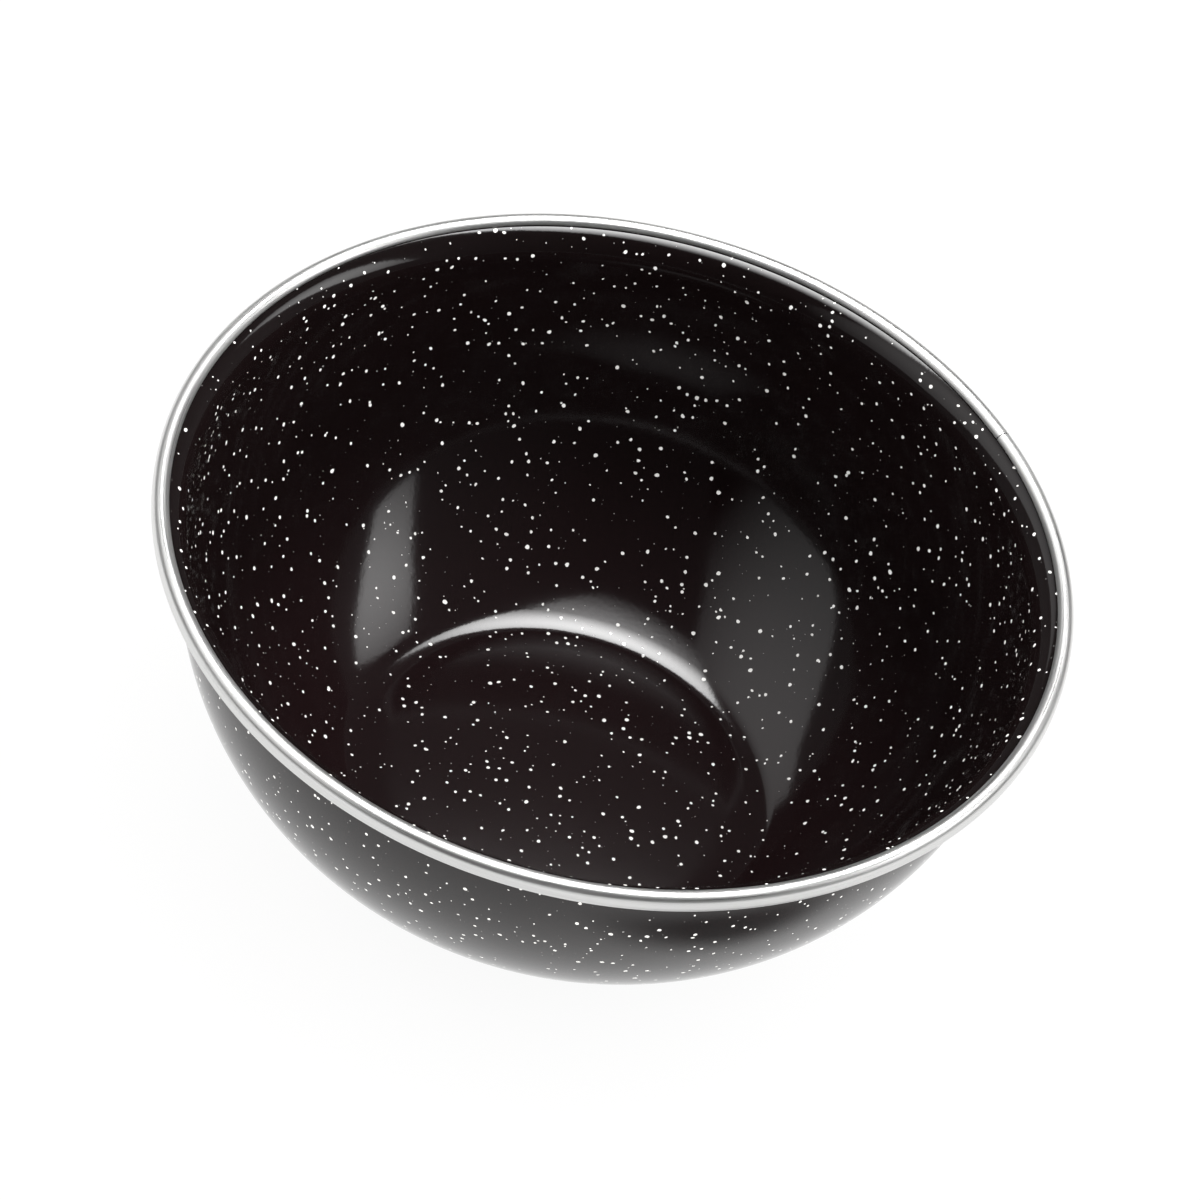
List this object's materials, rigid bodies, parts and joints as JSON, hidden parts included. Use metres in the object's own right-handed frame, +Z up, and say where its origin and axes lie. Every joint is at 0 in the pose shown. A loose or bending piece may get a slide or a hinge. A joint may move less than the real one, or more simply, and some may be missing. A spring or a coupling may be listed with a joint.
{
  "type": "enamelled basin bowl",
  "caption": "Round deep bowl of pressed steel with a flecked black enamel coat, a shallow crown in its base and a stainless strip rolled round its turned-out lip; holds food for mixing, washing or eating.",
  "frame": {"origin": "centre of the base, on the surface that the bowl stands on", "axes": "+Z up along the bowl's turning axis; +Y away from the picture's viewer, so the rim's butt joint lies towards +X+Y"},
  "size_m": [0.16, 0.16, 0.064],
  "materials": {
    "steel_sheet": "pickled low-carbon steel sheet, hidden under the coats",
    "black_enamel": "gloss vitreous enamel with scattered white flecks",
    "stainless_strip": "rolled stainless strip, satin to bright"
  },
  "bodies": {
    "root": {"steel_bowl": "steel_sheet", "inner_enamel": "black_enamel", "outer_enamel": "black_enamel", "rim_band": "stainless_strip"}
  },
  "joints": []
}
